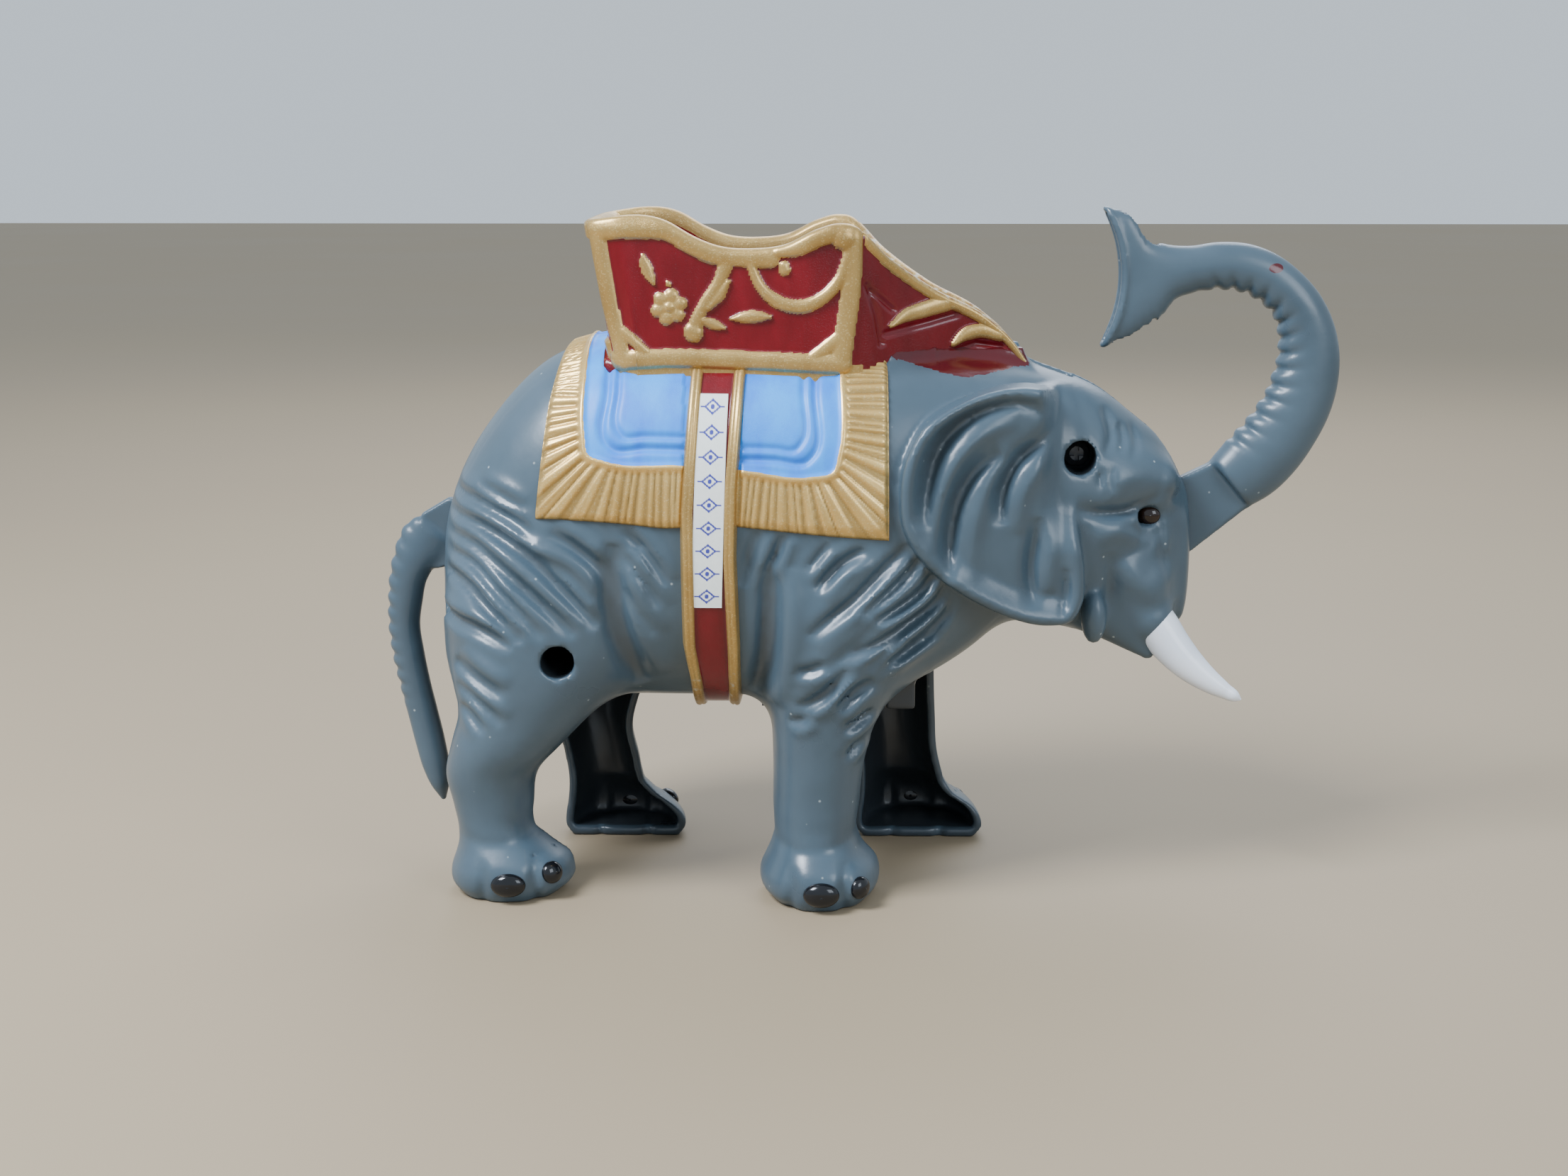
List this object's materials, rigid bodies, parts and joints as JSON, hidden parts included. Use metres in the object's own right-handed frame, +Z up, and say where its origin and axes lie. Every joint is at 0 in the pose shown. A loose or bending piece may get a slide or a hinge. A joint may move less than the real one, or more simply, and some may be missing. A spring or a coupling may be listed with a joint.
{
  "type": "mechanical elephant coin bank",
  "caption": "Elephant coin bank: the tail is lifted, the curled trunk swings back and drops a coin into the howdah, and a belly trap lets the coins out.",
  "frame": {"origin": "on the surface the bank stands on, under the middle of its bounding box", "axes": "+X towards the trunk, +Y to the elephant's left, +Z up"},
  "size_m": [0.1895, 0.068, 0.133],
  "materials": {
    "grey_plastic": "semi-gloss",
    "zinc_steel": "satin",
    "black_steel": "black satin",
    "label_paper": "satin"
  },
  "bodies": {
    "body": {"shell_right": "grey_plastic", "shell_left": "grey_plastic", "trunk_pivot_pin": "zinc_steel", "tail_pivot_pin": "zinc_steel", "head_screw": "black_steel", "hip_screw": "black_steel", "label": "label_paper"},
    "trunk_lever": {"trunk": "grey_plastic"},
    "tail_lever": {"tail": "grey_plastic"},
    "link": {"link_wire": "zinc_steel"},
    "trap": {"coin_trap": "grey_plastic"}
  },
  "joints": [
    {"name": "tail_lift", "type": "hinge", "parent": "body", "child": "tail_lever", "pos_m": [-0.075, 0, 0.07], "axis": [0, 1, 0], "range_deg": [0, 35]},
    {"name": "trunk_swing", "type": "hinge", "parent": "body", "child": "trunk_lever", "pos_m": [0.053, 0, 0.069], "axis": [0, -1, 0], "range_deg": [0, 37.17]},
    {"name": "link_turn", "type": "hinge", "parent": "tail_lever", "child": "link", "pos_m": [-0.06884, 0, 0.06212], "axis": [0, 1, 0], "range_deg": [-36.52, 0]},
    {"name": "coin_trap_hinge", "type": "hinge", "parent": "body", "child": "trap", "pos_m": [0.0085, 0, 0.0378], "axis": [0, -1, 0], "range_deg": [0, 80]}
  ],
  "couplings": [
    {"joint": "trunk_swing", "follows": "tail_lift", "ratio": 1.062},
    {"joint": "link_turn", "follows": "tail_lift", "ratio": -1.0435}
  ]
}
